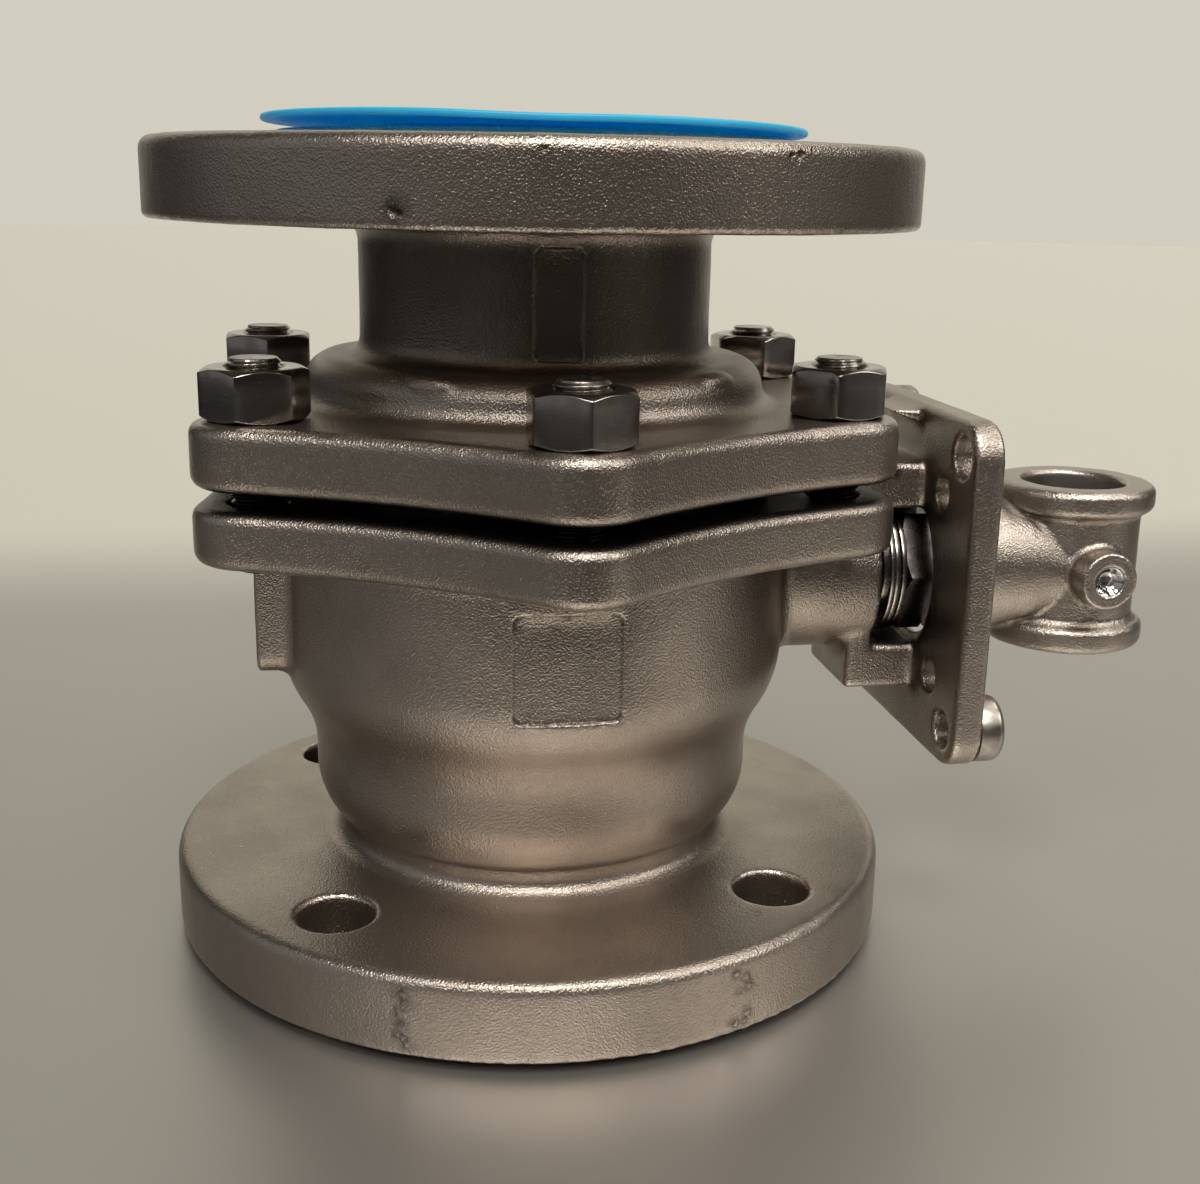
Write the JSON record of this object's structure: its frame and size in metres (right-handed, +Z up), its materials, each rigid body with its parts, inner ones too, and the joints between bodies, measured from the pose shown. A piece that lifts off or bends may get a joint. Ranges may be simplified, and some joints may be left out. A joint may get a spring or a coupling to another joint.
{
  "type": "flanged ball valve",
  "caption": "Flanged quarter-turn ball valve with a split body, full bore, square actuator pad and a lever socket.",
  "frame": {"origin": "centre of the bore at the lower raised face, on which the valve stands", "axes": "+Z up along the bore to the upper flange, +X out along the stem to the lever head, +Y away from the pictured side"},
  "size_m": [0.2697, 0.1904, 0.2068],
  "materials": {
    "cast_stainless": "bead-blasted cast stainless steel, satin",
    "bright_steel": "machined stainless steel, semi-bright",
    "nut_steel": "cold-formed stainless steel, glossy",
    "screw_steel": "bright stainless steel",
    "polished_ball": "polished stainless steel",
    "seat_polymer": "smooth filled fluoropolymer",
    "gasket_graphite": "flexible graphite",
    "cover_polyethylene": "glossy blue moulded polyethylene"
  },
  "bodies": {
    "casing": {"body": "cast_stainless", "end_cap": "cast_stainless", "lower_seat": "seat_polymer", "upper_seat": "seat_polymer", "body_gasket": "gasket_graphite", "stem_thrust_washer": "seat_polymer", "packing_rings": "seat_polymer", "gland_follower": "bright_steel", "studs": "nut_steel", "stud_nuts": "nut_steel", "stop_screws": "screw_steel"},
    "stem_and_lever": {"stem": "bright_steel", "spring_washers": "bright_steel", "lock_washer": "bright_steel", "stem_nut": "nut_steel", "stop_plate": "bright_steel", "lever_head": "cast_stainless", "lever_set_screw": "screw_steel", "hub_set_screw": "screw_steel"},
    "ball": {"ball": "polished_ball"},
    "cover": {"flange_cover": "cover_polyethylene"}
  },
  "joints": [
    {"name": "stem_turn", "type": "hinge", "parent": "casing", "child": "stem_and_lever", "pos_m": [0, 0, 0.0915], "axis": [-1, 0, 0], "range_deg": [0, 90]},
    {"name": "ball_turn", "type": "hinge", "parent": "casing", "child": "ball", "pos_m": [0, 0, 0.0915], "axis": [-1, 0, 0], "range_deg": [0, 90]},
    {"name": "cover_lift", "type": "slide", "parent": "casing", "child": "cover", "axis": [0, 0, 1], "range_m": [0, 0.04]}
  ],
  "couplings": [
    {"joint": "ball_turn", "follows": "stem_turn", "ratio": 1}
  ]
}
